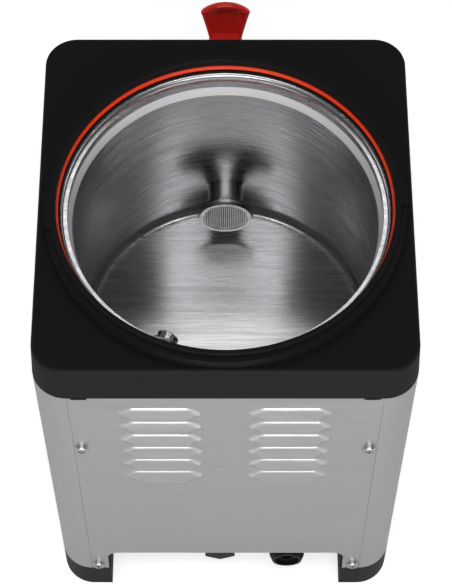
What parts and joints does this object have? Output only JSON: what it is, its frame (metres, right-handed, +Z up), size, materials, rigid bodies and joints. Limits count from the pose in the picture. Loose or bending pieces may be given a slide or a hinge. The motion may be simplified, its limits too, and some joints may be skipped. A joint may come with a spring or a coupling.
{
  "type": "slush machine",
  "caption": "Countertop slush machine with a steel cabinet, open refrigerated tank under a bayonet collar, front lever tap, drip tray and controls.",
  "frame": {"origin": "on the table under the middle of the whole machine, drip tray included", "axes": "+Z up, -Y towards the user at the tap, +X to the user's right"},
  "size_m": [0.26, 0.381, 0.3805],
  "materials": {
    "black_moulded": "matt fine-grain black moulding",
    "black_gloss": "satin black plastic",
    "red_plastic": "glossy red moulding",
    "steel_sheet": "brushed stainless sheet",
    "steel_tank": "spun and brushed stainless",
    "steel_machined": "turned stainless",
    "zinc_steel": "zinc-plated steel",
    "silicone_orange": "orange silicone",
    "rubber_black": "black rubber",
    "copper": "copper tube",
    "aluminium_fin": "plain aluminium fins",
    "compressor_black": "black enamel on pressed steel",
    "foam": "closed-cell foam",
    "lens": "tinted lamp lens"
  },
  "bodies": {
    "cabinet": {"base_frame": "black_moulded", "rubber_feet": "rubber_black", "body_wrap": "steel_sheet", "rear_panel": "steel_sheet", "rear_screws": "steel_machined", "top_frame": "black_moulded", "bayonet_collar": "black_moulded", "collar_screws": "zinc_steel", "lid_gasket": "silicone_orange", "tank": "steel_tank", "outlet_tube": "steel_machined", "strainer_cup": "steel_machined", "strainer_disc": "steel_machined", "temperature_probe": "steel_machined", "probe_nut": "steel_machined", "tap_body": "black_gloss", "tap_gasket": "rubber_black", "tap_screws": "steel_machined", "tap_cap": "black_gloss", "tap_spring": "steel_machined", "lever_pin": "steel_machined", "control_panel": "black_gloss", "panel_screws": "steel_machined", "pilot_lamps": "lens", "rocker_housing": "black_gloss", "thermostat": "zinc_steel", "tray_bracket": "steel_sheet", "bracket_screws": "steel_machined", "gland_bracket": "black_moulded", "cable_gland": "black_gloss", "hex_plug": "black_gloss", "gland_nuts": "black_gloss", "tank_shelf": "zinc_steel", "shelf_posts": "zinc_steel", "base_foam": "foam", "wall_foam": "foam", "evaporator_coil": "copper", "compressor": "compressor_black", "compressor_grommets": "rubber_black", "condenser_fins": "aluminium_fin", "condenser_tubes": "copper", "fan_frame": "black_moulded", "fan_motor": "zinc_steel", "filter_drier": "copper", "discharge_line": "copper", "liquid_line": "copper", "supply_line": "copper", "suction_line": "copper", "electrical_box": "black_moulded", "box_lid": "black_moulded"},
    "lever": {"tap_lever": "red_plastic", "link_pin": "steel_machined"},
    "piston": {"tap_piston": "steel_machined", "piston_seals": "rubber_black"},
    "rocker": {"power_rocker": "black_gloss"},
    "knob": {"thermostat_knob": "black_gloss"},
    "tray": {"drip_tray": "black_moulded"},
    "grille": {"drip_grille": "steel_sheet"},
    "fan": {"fan_blade": "black_moulded"}
  },
  "joints": [
    {"name": "lever_pull", "type": "hinge", "parent": "cabinet", "child": "lever", "pos_m": [0, -0.1435, 0.284], "axis": [1, 0, 0], "range_deg": [0, 30], "stiffness_Nm_per_rad": 0.5, "springref_deg": -22.92},
    {"name": "piston_lift", "type": "slide", "parent": "cabinet", "child": "piston", "axis": [0, 0, 1], "range_m": [0, 0.0072], "deforming": ["tap_spring"]},
    {"name": "rocker_switch", "type": "hinge", "parent": "cabinet", "child": "rocker", "pos_m": [-0.052, -0.0855, 0.13], "axis": [1, 0, 0], "range_deg": [-16, 0]},
    {"name": "thermostat_turn", "type": "hinge", "parent": "cabinet", "child": "knob", "pos_m": [0.05, -0.0885, 0.13], "axis": [0, 1, 0], "range_deg": [-135, 135]},
    {"name": "tray_slide", "type": "slide", "parent": "cabinet", "child": "tray", "axis": [0, -1, 0], "range_m": [0, 0.11]},
    {"name": "grille_lift", "type": "slide", "parent": "tray", "child": "grille", "axis": [0, 0, 1], "range_m": [0, 0.05]},
    {"name": "fan_spin", "type": "hinge", "parent": "cabinet", "child": "fan", "pos_m": [-0.035, 0.06, 0.113], "axis": [1, 0, 0], "continuous": true}
  ],
  "couplings": [
    {"joint": "piston_lift", "follows": "lever_pull", "m_per_rad": 0.0133}
  ]
}
